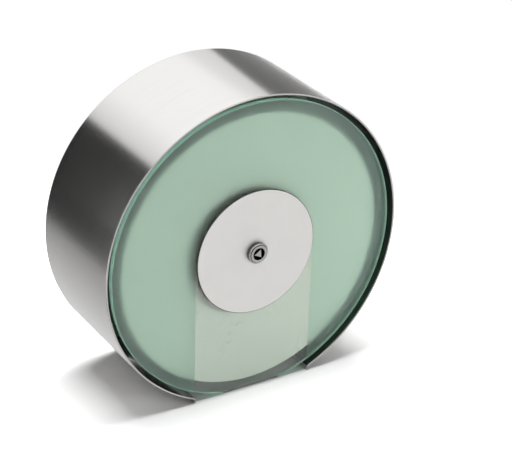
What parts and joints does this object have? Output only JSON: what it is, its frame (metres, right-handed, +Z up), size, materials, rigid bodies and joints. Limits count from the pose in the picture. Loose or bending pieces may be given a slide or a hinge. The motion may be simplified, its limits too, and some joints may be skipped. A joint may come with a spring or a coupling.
{
  "type": "jumbo toilet roll dispenser",
  "caption": "Wall-mounted steel drum that holds a jumbo toilet roll, with a paper slot in its underside and a round satin glass front held by a central key lock.",
  "frame": {"origin": "centre of the wall plate's back face, on the drum's axis and in the middle of the wall screws", "axes": "+Y into the wall, so the glass front faces -Y; +X to the right seen from the front; +Z up"},
  "size_m": [0.3, 0.125, 0.291],
  "materials": {
    "drum_steel": "stainless sheet, brushed round the drum",
    "cover_steel": "stainless plate, bead-blasted satin",
    "inner_steel": "stainless, plain mill finish",
    "fastener_steel": "stainless fastener, plain",
    "spring_steel": "spring steel, dark oxide",
    "lock_steel": "stainless, turned",
    "satin_glass": "green float glass, satin-etched on the front, with a clear strip below the middle",
    "gasket_rubber": "matt black rubber",
    "sleeve_plastic": "dark moulded plastic",
    "bush_plastic": "white turned plastic",
    "cardboard": "wound grey-brown board",
    "tissue_paper": "soft wound tissue"
  },
  "bodies": {
    "housing": {"drum_shell": "drum_steel", "back_plate": "inner_steel", "spindle_flange": "inner_steel", "spindle_screws": "fastener_steel", "spindle_washers": "fastener_steel", "spindle_nuts": "fastener_steel", "spindle_tube": "inner_steel", "keeper_plate": "inner_steel", "spindle_sleeve": "sleeve_plastic", "retaining_ring": "spring_steel"},
    "roll": {"cardboard_core": "cardboard", "paper_roll": "tissue_paper"},
    "front": {"glass_disc": "satin_glass", "cover_plate": "cover_steel", "front_gasket": "gasket_rubber", "rear_gasket": "gasket_rubber", "glass_bush": "bush_plastic", "clamp_hub": "inner_steel", "clamp_screws": "fastener_steel", "locating_pin": "fastener_steel", "lock_housing": "lock_steel", "lock_washer": "fastener_steel", "lock_nut": "fastener_steel"},
    "lock": {"lock_core": "lock_steel", "core_clip": "spring_steel", "lock_tongue": "inner_steel", "tongue_washer": "fastener_steel", "tongue_screw": "fastener_steel"}
  },
  "joints": [
    {"name": "roll_spin", "type": "hinge", "parent": "housing", "child": "roll", "pos_m": [0, -0.0615, -0.0017], "axis": [0, 1, 0], "continuous": true},
    {"name": "front_slide", "type": "slide", "parent": "housing", "child": "front", "axis": [0, -1, 0], "range_m": [0, 0.08]},
    {"name": "lock_turn", "type": "hinge", "parent": "front", "child": "lock", "pos_m": [0, -0.12, 0], "axis": [0, 1, 0], "range_deg": [0, 90]}
  ]
}
